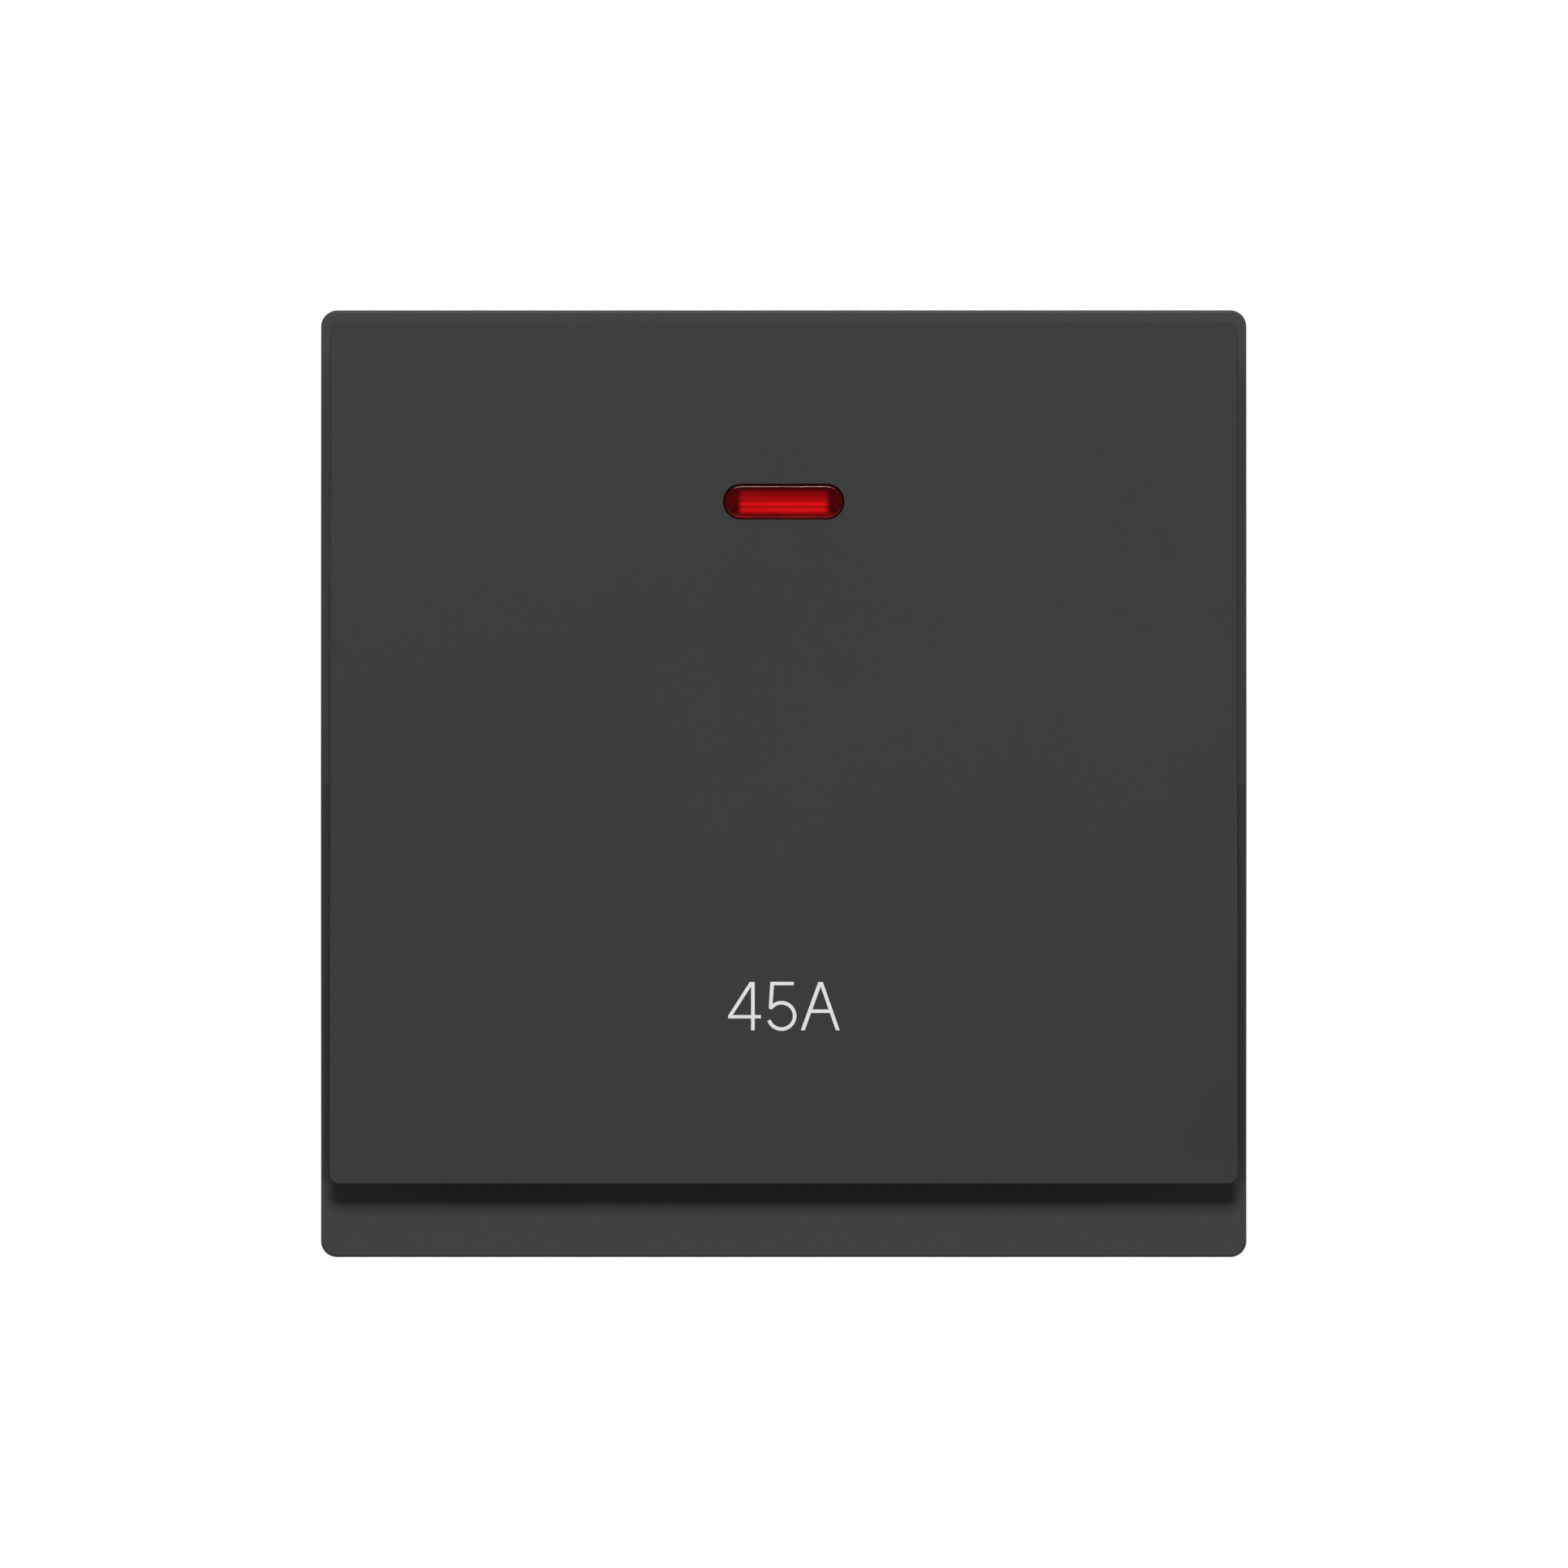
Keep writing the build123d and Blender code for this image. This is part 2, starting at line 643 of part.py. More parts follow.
# The pieces of each pole
for pole, side in poles:
    pole_x = side * pole_offset
    terminal_x = side * terminal_offset

    # Plunger: a round-nosed pin with a spigot for its spring
    with BuildPart() as plunger:
        with BuildSketch(rocker_side(pole_x)):
            with BuildLine():
                nose = CenterArc((0, plunger_radius - plunger_reach), plunger_radius, 0, -90)
                Polyline(
                    nose @ 1,
                    (0, plunger_top + spigot_length),
                    (spigot_radius, plunger_top + spigot_length),
                    (spigot_radius, plunger_top),
                    (plunger_radius, plunger_top),
                    nose @ 0,
                )
            make_face()
        pole_axis = Axis((pole_x, -pivot_height, 0), on_rocker(0).z_dir)
        revolve(axis=pole_axis)
    finish(plunger, f"{pole}_plunger")

    # Over-centre spring between the plunger and the roof of its tube
    with BuildPart() as spring:
        coil_bottom = plunger_top + spring_wire_radius + spring_end_gap
        coil_top = tube_bore_top - spring_wire_radius - spring_end_gap
        coil_radius = tube_bore_radius - spring_clearance - spring_wire_radius
        with BuildLine():
            coil = Helix(
                (coil_top - coil_bottom) / spring_turns,
                coil_top - coil_bottom,
                coil_radius,
                center=on_rocker(coil_bottom).from_local_coords((pole_x, 0, 0)),
                direction=on_rocker(0).z_dir,
            )
        with BuildSketch(Plane(coil @ 0, z_dir=coil % 0)):
            Circle(spring_wire_radius)
        sweep(path=coil, is_frenet=True)
    finish(spring, f"{pole}_spring")

    # Contact blade: a flat strip that rocks on two round ears
    with BuildPart() as blade:
        with BuildSketch(on_blade(pole_x, -blade_thickness / 2)):
            RectangleRounded(blade_width, 2 * blade_half_length, blade_end_radius)
        extrude(amount=blade_thickness)
        for ear in (-1, 1):
            with BuildSketch(Plane.YZ.offset(pole_x + ear * (blade_width / 2 + ear_length))):
                with Locations((blade_depth, 0)):
                    Circle(ear_radius)
            extrude(amount=-ear * (ear_length + ear_root))
    finish(blade, f"{pole}_blade")

    # Silver contacts, face to face across a small gap
    with BuildPart() as moving_contact:
        with BuildSketch(on_blade(pole_x, -blade_thickness / 2)):
            with Locations((0, -contact_reach)):
                Circle(contact_radius)
        extrude(amount=-contact_height)
        fillet(moving_contact.faces().sort_by(Axis.Y)[-1].edges(), contact_edge_radius)
    finish(moving_contact, f"{pole}_moving_contact")
    with BuildPart() as fixed_contact:
        with BuildSketch(on_blade(pole_x, -blade_thickness / 2 - contact_height - closed_gap)):
            with Locations((0, -contact_reach)):
                Circle(contact_radius)
        extrude(amount=-contact_height)
        fillet(fixed_contact.faces().sort_by(Axis.Y)[0].edges(), contact_edge_radius)
    finish(fixed_contact, f"{pole}_fixed_contact")

    # Load terminal at the top: a block, and a strip to the cradle that the blade rocks in
    with BuildPart() as load_terminal:
        with BuildSketch(Plane.XY.offset(terminal_inner)):
            with Locations((terminal_x, bore_depth)):
                Rectangle(terminal_width, terminal_thickness)
        extrude(amount=terminal_length)
        chamfer(load_terminal.faces().sort_by(Axis.Z)[-1].edges(), terminal_edge)
        with BuildSketch(behind(strip_front)):
            with Locations((pole_x, (terminal_inner - strip_tail) / 2)):
                Rectangle(2 * cradle_half_width, terminal_inner + strip_tail)
        extrude(amount=-strip_thickness)
        with BuildSketch(Plane.YZ.offset(pole_x - cradle_half_width)):
            cheek_height = cradle_height + cradle_rise
            with Locations((strip_front - cheek_height / 2, 0)):
                Rectangle(cheek_height, 2 * cradle_half_length)
            with Locations((blade_depth, 0)):
                Circle(ear_radius + ear_clearance, mode=Mode.SUBTRACT)
            with Locations((blade_depth - cradle_rise / 2, 0)):
                Rectangle(cradle_rise, 2 * (ear_radius + ear_clearance), mode=Mode.SUBTRACT)
        extrude(amount=2 * cradle_half_width)
        with BuildSketch(behind(strip_front)):
            with Locations((pole_x, 0)):
                Rectangle(2 * (cradle_half_width - cradle_wall), 2 * cradle_half_length)
        extrude(amount=cheek_height, mode=Mode.SUBTRACT)
        with BuildSketch(Plane.YZ.offset(pole_x - cradle_half_width)):
            with Locations((strip_front, stop_bead_reach)):
                Circle(stop_bead_radius)
        extrude(amount=2 * cradle_half_width)
        with BuildSketch(Plane.XY.offset(terminal_outer)):
            with Locations((terminal_x, bore_depth)):
                Circle(wire_bore_radius)
        extrude(amount=-wire_bore_length, mode=Mode.SUBTRACT)
        with BuildSketch(behind(pocket_depth)):
            with Locations((terminal_x, terminal_middle)):
                with GridLocations(0, screw_spacing, 1, 2):
                    Circle(screw_radius + screw_thread_gap)
        extrude(amount=pocket_depth - bore_depth, mode=Mode.SUBTRACT)
    finish(load_terminal, f"{pole}_load_terminal")

    # Supply terminal at the foot: a block, and an arm bent to face the closed blade
    with BuildPart() as supply_terminal:
        with BuildSketch(Plane.XY.offset(-terminal_inner)):
            with Locations((terminal_x, bore_depth)):
                Rectangle(terminal_width, terminal_thickness)
        extrude(amount=-terminal_length)
        chamfer(supply_terminal.faces().sort_by(Axis.Z)[0].edges(), terminal_edge)
        seat_front = -(blade_thickness / 2 + 2 * contact_height + closed_gap)
        seat_rear = seat_front - strip_thickness
        seat_near = -(contact_reach - contact_radius - seat_margin)
        seat_far = -(contact_reach + contact_radius + seat_margin)
        bend_front = blade_point(seat_far, seat_front)[0]
        with BuildSketch(Plane.YZ.offset(pole_x - strip_width / 2)):
            with BuildLine():
                Polyline(
                    blade_point(seat_near, seat_front),
                    blade_point(seat_far, seat_front),
                    (bend_front, -terminal_inner),
                    (bend_front + strip_thickness, -terminal_inner),
                    blade_point(seat_far, seat_rear),
                    blade_point(seat_near, seat_rear),
                    close=True,
                )
            make_face()
        extrude(amount=strip_width)
        with BuildSketch(Plane.XY.offset(-terminal_outer)):
            with Locations((terminal_x, bore_depth)):
                Circle(wire_bore_radius)
        extrude(amount=wire_bore_length, mode=Mode.SUBTRACT)
        with BuildSketch(behind(pocket_depth)):
            with Locations((terminal_x, -terminal_middle)):
                with GridLocations(0, screw_spacing, 1, 2):
                    Circle(screw_radius + screw_thread_gap)
        extrude(amount=pocket_depth - bore_depth, mode=Mode.SUBTRACT)
    finish(supply_terminal, f"{pole}_supply_terminal")

# Earth terminal: a plain block with one wire bore
with BuildPart() as earth_terminal:
    with BuildSketch(Plane.XY.offset(-terminal_inner)):
        with Locations((0, earth_bore_depth)):
            Rectangle(earth_width, earth_thickness)
    extrude(amount=-terminal_length)
    chamfer(earth_terminal.faces().sort_by(Axis.Z)[0].edges(), terminal_edge)
    with BuildSketch(Plane.XY.offset(-terminal_outer)):
        with Locations((0, earth_bore_depth)):
            Circle(earth_bore_radius)
    extrude(amount=wire_bore_length, mode=Mode.SUBTRACT)
    with BuildSketch(behind(pocket_depth)):
        with Locations((0, -terminal_middle)):
            Circle(screw_radius + screw_thread_gap)
    extrude(amount=pocket_depth - earth_bore_depth, mode=Mode.SUBTRACT)
finish(earth_terminal, "earth_terminal")


def clamp_screws(name, places, tip_depth):
    """Slotted clamp screws at these places on the rear, with their tips at this depth."""
    head_rear = base_depth - screw_recess
    head_front = head_rear - screw_head_height
    with BuildPart() as screws:
        with BuildSketch(behind(tip_depth)):
            with Locations(places):
                Circle(screw_radius)
        extrude(amount=tip_depth - head_rear)
        with BuildSketch(behind(head_front)):
            with Locations(places):
                Circle(screw_head_radius)
        extrude(amount=-screw_head_height)
        with BuildSketch(behind(head_rear)):
            with Locations(places):
                Rectangle(2 * screw_head_radius, screw_slot_width)
        extrude(amount=screw_slot_depth, mode=Mode.SUBTRACT)
    finish(screws, name)


terminal_screw_places = [
    (x, end * terminal_middle + step)
    for x in (-terminal_offset, terminal_offset)
    for end in (-1, 1)
    for step in (-screw_spacing / 2, screw_spacing / 2)
]
clamp_screws("terminal_screws", terminal_screw_places, bore_depth + wire_bore_radius + screw_tip_gap)
clamp_screws("earth_screw", [(0, -terminal_middle)], earth_bore_depth + earth_bore_radius + screw_tip_gap)

# Screws through the base's lugs into the yoke's bosses
with BuildPart() as base_screws:
    with BuildSketch(front(base_screw_bite)):
        with GridLocations(2 * lug_offset, 2 * lug_height, 2, 2):
            Circle(base_screw_radius)
    extrude(amount=-(base_screw_bite + lug_thickness))
    with BuildSketch(behind(lug_thickness)):
        with GridLocations(2 * lug_offset, 2 * lug_height, 2, 2):
            Circle(base_screw_head_radius)
    extrude(amount=-base_screw_head_height)
    rear_edges = base_screws.faces().filter_by(Axis.Y).group_by(Axis.Y)[-1].edges()
    fillet(rear_edges, base_screw_head_height / 2)
    with BuildSketch(behind(lug_thickness + base_screw_head_height)):
        with GridLocations(2 * lug_offset, 2 * lug_height, 2, 2):
            Rectangle(2 * base_screw_head_radius, screw_slot_width)
    extrude(amount=screw_slot_depth, mode=Mode.SUBTRACT)
finish(base_screws, "base_screws")

# Indicator lamp: a small neon bulb lying across the yoke behind the lens
with BuildPart() as indicator_lamp:
    with BuildSketch(Plane.YZ.offset(lamp_left)):
        with Locations((-lamp_height, lens_centre)):
            Circle(lamp_radius)
    extrude(amount=lamp_length)
    fillet(indicator_lamp.faces().sort_by(Axis.X)[-1].edges(), lamp_radius / 2)
    with BuildSketch(Plane.YZ.offset(lamp_left)):
        with Locations((-lamp_height, lens_centre)):
            Rectangle(pinch_thickness, pinch_width)
    extrude(amount=-pinch_length)
finish(indicator_lamp, "indicator_lamp")

# Series resistor in the live lead
with BuildPart() as lamp_resistor:
    with BuildSketch(Plane.YZ.offset(-resistor_length / 2)):
        with Locations((-lamp_height, resistor_row)):
            Circle(resistor_radius)
    extrude(amount=resistor_length)
    fillet(lamp_resistor.edges(), resistor_edge_radius)
finish(lamp_resistor, "lamp_resistor")

# Lamp leads, from the bulb's pinch over the yoke and through it to the load terminals
pinch_end = lamp_left - pinch_length
lead_low = lens_centre - lead_spacing / 2
lead_high = lens_centre + lead_spacing / 2
lead_turn = pinch_end - 2 * lead_bend_radius
neutral_routes = [
    [
        (pinch_end, -lamp_height, lead_low),
        (lead_turn, -lamp_height, lead_low),
        (-terminal_offset, -lamp_height, lead_row),
        (-terminal_offset, terminal_front, lead_row),
    ],
]
live_routes = [
    [
        (pinch_end, -lamp_height, lead_high),
        (lead_turn, -lamp_height, lead_high),
        (lead_turn, -lamp_height, resistor_row),
        (-resistor_length / 2, -lamp_height, resistor_row),
    ],
    [
        (resistor_length / 2, -lamp_height, resistor_row),
        (-lead_turn, -lamp_height, resistor_row),
        (terminal_offset, -lamp_height, lead_row),
        (terminal_offset, terminal_front, lead_row),
    ],
]
for pole, routes in (("live", live_routes), ("neutral", neutral_routes)):
    with BuildPart() as lamp_lead:
        for points in routes:
            with BuildLine():
                route = FilletPolyline(*points, radius=lead_bend_radius)
            with BuildSketch(Plane(route @ 0, z_dir=route % 0)):
                Circle(lead_radius)
            sweep(path=route)
    finish(lamp_lead, f"{pole}_lamp_lead")
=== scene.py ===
import json
from math import cos, pi, radians, sin

import bmesh
import bpy
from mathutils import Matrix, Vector
from mathutils.geometry import tessellate_polygon


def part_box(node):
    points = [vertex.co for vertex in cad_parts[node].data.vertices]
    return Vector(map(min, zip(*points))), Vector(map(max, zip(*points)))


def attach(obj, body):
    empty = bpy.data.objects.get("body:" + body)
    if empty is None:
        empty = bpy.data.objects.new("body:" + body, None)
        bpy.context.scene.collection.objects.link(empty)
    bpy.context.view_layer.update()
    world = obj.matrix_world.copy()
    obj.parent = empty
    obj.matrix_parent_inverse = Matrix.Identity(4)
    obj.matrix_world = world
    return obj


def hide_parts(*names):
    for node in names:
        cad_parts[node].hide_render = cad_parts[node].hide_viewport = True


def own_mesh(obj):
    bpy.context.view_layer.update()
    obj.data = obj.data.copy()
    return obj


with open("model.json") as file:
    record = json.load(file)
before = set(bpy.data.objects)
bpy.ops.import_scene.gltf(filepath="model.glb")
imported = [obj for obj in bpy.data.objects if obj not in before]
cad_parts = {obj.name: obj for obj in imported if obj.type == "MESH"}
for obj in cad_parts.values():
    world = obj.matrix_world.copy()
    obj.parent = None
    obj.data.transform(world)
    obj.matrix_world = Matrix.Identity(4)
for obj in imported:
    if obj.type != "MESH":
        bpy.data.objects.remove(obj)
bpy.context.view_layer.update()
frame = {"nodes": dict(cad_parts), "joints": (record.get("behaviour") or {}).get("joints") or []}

scene = bpy.context.scene
nodes = frame["nodes"]
joints = {joint["name"]: joint for joint in frame["joints"]}
POLES = ("live", "neutral")

# Sizes in metres, in the CAD frame: the front faces -Y and +Z is up
MM = 0.001

# The photograph: its size and scale, and where the middle of the plate is in it
PIXELS = 1932
PIXELS_PER_MM = 13.26
PLATE_CENTRE_PX = (965.65, 965.5)


def metres(pixels):
    """The real size of a length in the photograph."""
    return pixels / PIXELS_PER_MM * MM


# The rocker at rest: its pivot, the directions up and out of its face, and the face's height above the pivot
rocker_tilt = radians(joints["rocker_tilt"]["range_deg"][1]) / 2
pivot = Vector(joints["rocker_tilt"]["pos_m"])
face_up = Vector((0, sin(rocker_tilt), cos(rocker_tilt)))
face_out = Vector((0, -cos(rocker_tilt), sin(rocker_tilt)))
face_height = max((v.co - pivot).dot(face_out) for v in nodes["rocker_cover"].data.vertices)


def on_rocker(right, up, out):
    """A point from its distances from the pivot: right, up along the rocker's face, and out square to it."""
    return pivot + Vector((right, 0, 0)) + face_up * up + face_out * out


def up_rocker(level, out):
    """How far up along the face a point is that lies this far out from the pivot, at a level above it."""
    return (level - out * face_out.z) / face_up.z


# The lens: its middle in the photograph, and a sheet in its pocket that carries a painted glow in place of
# the lamp's light
LENS_CENTRE_PX = 618.1
LENS_HALF_HEIGHT = 1.575 * MM
GLOW_SHEET_HALF_WIDTH = 4.2 * MM
GLOW_SHEET_HALF_HEIGHT = 1.1 * MM
GLOW_SHEET_THICKNESS = 0.2 * MM
GLOW_SHEET_BELOW_FACE = 1.13 * MM
lens_up = up_rocker(metres(PLATE_CENTRE_PX[1] - LENS_CENTRE_PX), face_height)


def in_lens(right, up, out):
    """A point from its distances right, up and out of the middle of the lens's face."""
    return on_rocker(right, lens_up + up, face_height + out)


# The sockets of a Mix node that take colours, which share their names with those for other values
MIX_FACTOR, MIX_FIRST, MIX_SECOND, MIX_RESULT = 0, 6, 7, 2


class Shader:
    """A material's node tree, with short calls for the nodes used here."""

    def __init__(self, name):
        self.material = bpy.data.materials.new(name)
        self.material.use_nodes = True
        self.tree = self.material.node_tree
        self.bsdf = self.tree.nodes["Principled BSDF"]
        place = self.add("ShaderNodeTexCoord")
        self.coords = place.outputs["Object"]
        self.normal = place.outputs["Normal"]

    def add(self, kind, **settings):
        node = self.tree.nodes.new(kind)
        for key, value in settings.items():
            setattr(node, key, value)
        return node

    def join(self, source, target):
        self.tree.links.new(source, target)

    def put(self, node, socket, value):
        """Link another node's output to a socket, or set a plain value on it."""
        if isinstance(value, bpy.types.NodeSocket):
            self.join(value, node.inputs[socket])
        else:
            node.inputs[socket].default_value = value

    def stretched(self, scale):
        node = self.add("ShaderNodeMapping")
        self.put(node, "Vector", self.coords)
        self.put(node, "Scale", scale)
        return node.outputs["Vector"]

    def noise(self, scale, detail=3.0, roughness=0.55, vector=None):
        node = self.add("ShaderNodeTexNoise")
        self.put(node, "Vector", vector or self.coords)
        self.put(node, "Scale", scale)
        self.put(node, "Detail", detail)
        self.put(node, "Roughness", roughness)
        return node.outputs["Fac"]

    def cells(self, scale):
        node = self.add("ShaderNodeTexVoronoi", feature="SMOOTH_F1")
        self.put(node, "Vector", self.coords)
        self.put(node, "Scale", scale)
        return node.outputs["Distance"]

    def parts(self, vector):
        node = self.add("ShaderNodeSeparateXYZ")
        self.put(node, 0, vector)
        return node.outputs["X"], node.outputs["Y"], node.outputs["Z"]

    def spread(self, source, result, between=(0.3, 0.7)):
        """Turn a value between two limits into one of a range of results."""
        node = self.add("ShaderNodeMapRange")
        self.put(node, "Value", source)
        for socket, value in zip(("From Min", "From Max", "To Min", "To Max"), (*between, *result)):
            self.put(node, socket, value)
        return node.outputs["Result"]

    def maths(self, operation, first, second=0.0):
        node = self.add("ShaderNodeMath", operation=operation)
        self.put(node, 0, first)
        self.put(node, 1, second)
        return node.outputs[0]

    def product(self, first, *others):
        for other in others:
            first = self.maths("MULTIPLY", first, other)
        return first

    def ramp(self, source, stops, interpolation):
        node = self.add("ShaderNodeValToRGB")
        band = node.color_ramp
        band.interpolation = interpolation
        band.elements.remove(band.elements[1])
        band.elements[0].position = stops[0][0]
        band.elements[0].color = (*stops[0][1], 1)
        for place, colour in stops[1:]:
            band.elements.new(place).color = (*colour, 1)
        self.put(node, "Fac", source)
        return node.outputs["Color"]

    def blend(self, factor, first, second):
        node = self.add("ShaderNodeMix", data_type="RGBA")
        self.put(node, MIX_FACTOR, factor)
        for socket, colour in ((MIX_FIRST, first), (MIX_SECOND, second)):
            self.put(node, socket, (*colour, 1) if isinstance(colour, tuple) else colour)
        return node.outputs[MIX_RESULT]

    def bump(self, height, distance, strength):
        node = self.add("ShaderNodeBump")
        self.put(node, "Height", height)
        self.put(node, "Distance", distance)
        self.put(node, "Strength", strength)
        return node.outputs["Normal"]

    def upper_edges(self, flat=0.992, rounded=0.982, wall=0.12):
        """1 on upper edges, found by how far the normal turns from the front or back, and 0 elsewhere."""
        _, depth, height = self.parts(self.normal)
        facing = self.maths("ABSOLUTE", depth)
        off_face = self.spread(facing, (1, 0), (rounded, flat))
        off_wall = self.spread(facing, (0, 1), (wall / 2, wall))
        upper = self.spread(height, (0, 1), (-wall, wall))
        return self.product(off_face, off_wall, upper)

    def surface(self, **values):
        """Put values on the shader's sockets, with _ for each space in a name, and give the material."""
        for name, value in values.items():
            self.put(self.bsdf, name.replace("_", " "), value)
        return self.material


def shades(colour, amount):
    """A colour made darker and lighter by this share."""
    return tuple(c * (1 - amount) for c in colour), tuple(min(1, c * (1 + amount)) for c in colour)


def moulded(
    name, colour, roughness, variation=0.05, grain=0.012 * MM, grain_scale=5200, specular=0.4, polish=0.3
):
    """Moulded plastic with a fine spark-eroded grain, faint flow patches and polished upper edges."""
    look = Shader(name)
    fine = look.noise(grain_scale, detail=2.0, roughness=0.6)
    pits = look.cells(0.45 * grain_scale)
    patches = look.noise(42)
    dark, light = shades(colour, variation)
    speck, _ = shades(colour, 2.5 * variation)
    tone = look.blend(look.spread(patches, (0, 1)), dark, light)
    tone = look.blend(look.spread(fine, (0.35, 0), (0.25, 0.5)), tone, speck)
    broad = look.spread(patches, (roughness - 0.03, roughness + 0.03))
    height = look.maths("ADD", fine, look.product(pits, 0.6))
    return look.surface(
        Base_Color=tone,
        Roughness=look.maths("ADD", broad, look.spread(fine, (-0.04, 0.04))),
        Specular_IOR_Level=specular,
        Coat_Weight=look.product(look.upper_edges(), look.spread(patches, (0.85 * polish, polish))),
        Coat_Roughness=0.48,
        Normal=look.bump(height, grain, 0.6),
    )


def metal(name, colour, tarnish, roughness, lines=(900, 900, 60)):
    """Worked metal with drawn lines and patches of tarnish."""
    look = Shader(name)
    drawn = look.noise(6, detail=4.0, roughness=0.6, vector=look.stretched(lines))
    spots = look.noise(210, detail=4.0, roughness=0.6)
    fine = look.noise(3200, detail=2.0)
    tone = look.blend(look.spread(spots, (0, 0.75), (0.42, 0.72)), colour, tarnish)
    tone = look.blend(look.spread(drawn, (0, 0.22)), tone, tarnish)
    along_lines = look.spread(drawn, (roughness - 0.05, roughness + 0.07))
    height = look.maths("ADD", drawn, look.product(fine, 0.3))
    return look.surface(
        Base_Color=tone,
        Metallic=1.0,
        Roughness=look.maths("ADD", along_lines, look.spread(spots, (-0.03, 0.1))),
        Normal=look.bump(height, 0.004 * MM, 0.5),
    )


def lamp_glass():
    """Thin lamp glass, a little smoked by use."""
    look = Shader("lamp_glass")
    smoke = look.noise(320)
    return look.surface(
        Base_Color=look.blend(look.spread(smoke, (0, 1)), (0.95, 0.8, 0.74), (0.7, 0.5, 0.42)),
        Roughness=look.spread(smoke, (0.03, 0.09)),
        Transmission_Weight=0.95,
        IOR=1.45,
    )


# Where each painted ring of the resistor starts, as a share of its length along X, and its colour
RESISTOR_TAN = (0.55, 0.4, 0.24)
RESISTOR_RINGS = (
    (0.18, (0.75, 0.4, 0.02)),
    (0.36, (0.1, 0.04, 0.02)),
    (0.54, (0.75, 0.55, 0.03)),
    (0.78, (0.6, 0.42, 0.15)),
)
RING_WIDTH = 0.08


def lacquered_resistor():
    """A tan lacquered body with painted rings."""
    look = Shader("resistor_lacquer")
    low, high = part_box("lamp_resistor")
    x, _, _ = look.parts(look.coords)
    along = look.spread(x, (0, 1), (low.x, high.x))
    stops = [(0.0, RESISTOR_TAN)]
    for start, colour in RESISTOR_RINGS:
        stops += [(start, colour), (start + RING_WIDTH, RESISTOR_TAN)]
    painted = look.ramp(along, stops, "CONSTANT")
    patches = look.noise(600)
    return look.surface(
        Base_Color=look.blend(look.spread(patches, (0, 0.2)), painted, (0.2, 0.14, 0.08)),
        Roughness=look.spread(patches, (0.25, 0.38)),
        Normal=look.bump(patches, 0.01 * MM, 0.3),
    )


def printed_ink():
    """Pad-printed white ink, a little thin in places."""
    look = Shader("printed_ink")
    cover = look.noise(2600, roughness=0.6)
    patches = look.noise(240, detail=2.0)
    tone = look.blend(look.spread(cover, (0, 1), (0.2, 0.5)), (0.6, 0.61, 0.608), (0.665, 0.678, 0.676))
    return look.surface(
        Base_Color=look.blend(look.spread(patches, (0, 0.25)), tone, (0.61, 0.623, 0.62)),
        Roughness=look.spread(patches, (0.4, 0.5)),
        Specular_IOR_Level=0.3,
        Normal=look.bump(cover, 0.004 * MM, 0.4),
    )


# Limits of the lens's rounded rim, painted dark as shade, and of its face, by how squarely they face the
# front: -1 is squarely
RIM_STARTS = (-0.97, -0.8)
RIM_ENDS = (-0.3, -0.1)
FACE_ENDS = (-0.9, -0.5)
# How the painted glow in its lower wall fades: above the lens's foot, across the glow sheet's foot and past
# its ends
WALL_FADE_AT_FOOT = 0.2 * MM
WALL_FADE_AT_GLOW_SHEET = (-0.03 * MM, 0.06 * MM)
WALL_FADE_PAST_ENDS = 1.15


def red_lens():
    """Clear red plastic with faint flow lines, painted shade on its rounded rim and a little painted glow in
    its lower wall.
    """
    look = Shader("red_lens")
    flow = look.noise(4, detail=2.0, roughness=0.5, vector=look.stretched((60, 200, 200)))
    tone = look.blend(look.spread(flow, (0, 1)), (0.52, 0.006, 0.011), (0.58, 0.009, 0.016))
    x, _, z = look.parts(look.coords)
    _, facing, _ = look.parts(look.normal)
    # Painted shade: the rounded rim is darkened towards black-red, standing in for the dark its steep edge
    # shows
    painted_rim_shade = look.product(look.spread(facing, (0, 1), RIM_STARTS), look.spread(facing, (1, 0), RIM_ENDS))
    glow_sheet_foot = in_lens(0, -GLOW_SHEET_HALF_HEIGHT, 0).z
    lens_foot = in_lens(0, -LENS_HALF_HEIGHT, 0).z
    ends = (GLOW_SHEET_HALF_WIDTH, WALL_FADE_PAST_ENDS * GLOW_SHEET_HALF_WIDTH)
    # Painted glow: the lower wall emits red light, standing in for lamp light carried through it
    painted_wall_glow = look.product(
        look.spread(z, (1, 0), [glow_sheet_foot + fade for fade in WALL_FADE_AT_GLOW_SHEET]),
        look.spread(z, (0, 1), (lens_foot, lens_foot + WALL_FADE_AT_FOOT)),
        look.spread(look.maths("ABSOLUTE", x), (1, 0), ends),
        look.spread(facing, (1, 0), FACE_ENDS),
    )
    return look.surface(
        Base_Color=look.blend(painted_rim_shade, tone, (0.09, 0.001, 0.002)),
        Roughness=look.spread(flow, (0.1, 0.13)),
        Transmission_Weight=0.95,
        IOR=1.5,
        Specular_IOR_Level=0.28,
        Specular_Tint=(0.6, 0.37, 0.37, 1),
        Emission_Color=(1.0, 0.004, 0.012, 1),
        Emission_Strength=look.product(painted_wall_glow, look.spread(flow, (0.055, 0.065))),
        Normal=look.bump(flow, 0.001 * MM, 0.1),
    )


# The painted glow on the sheet: levels and painted electrode lines are shares of its height, with the
# strength there
PAINTED_NEON_GLOW = (1.0, 0.45, 0.3, 1)
GLOW_STRENGTH = 1.5
GLOW_LEVELS = (
    (0.0, 0.16), (0.09, 0.42), (0.3, 0.47), (0.56, 0.4),
    (0.7, 0.36), (0.8, 0.19), (0.93, 0.16), (1.0, 0.03),
)
PAINTED_ELECTRODE_LINES = ((0.425, 0.46), (0.161, 0.41))
LINE_HALF_WIDTH = 0.1
# The shares of its half width between which the glow fades
GLOW_FADE = (0.895, 1.025)


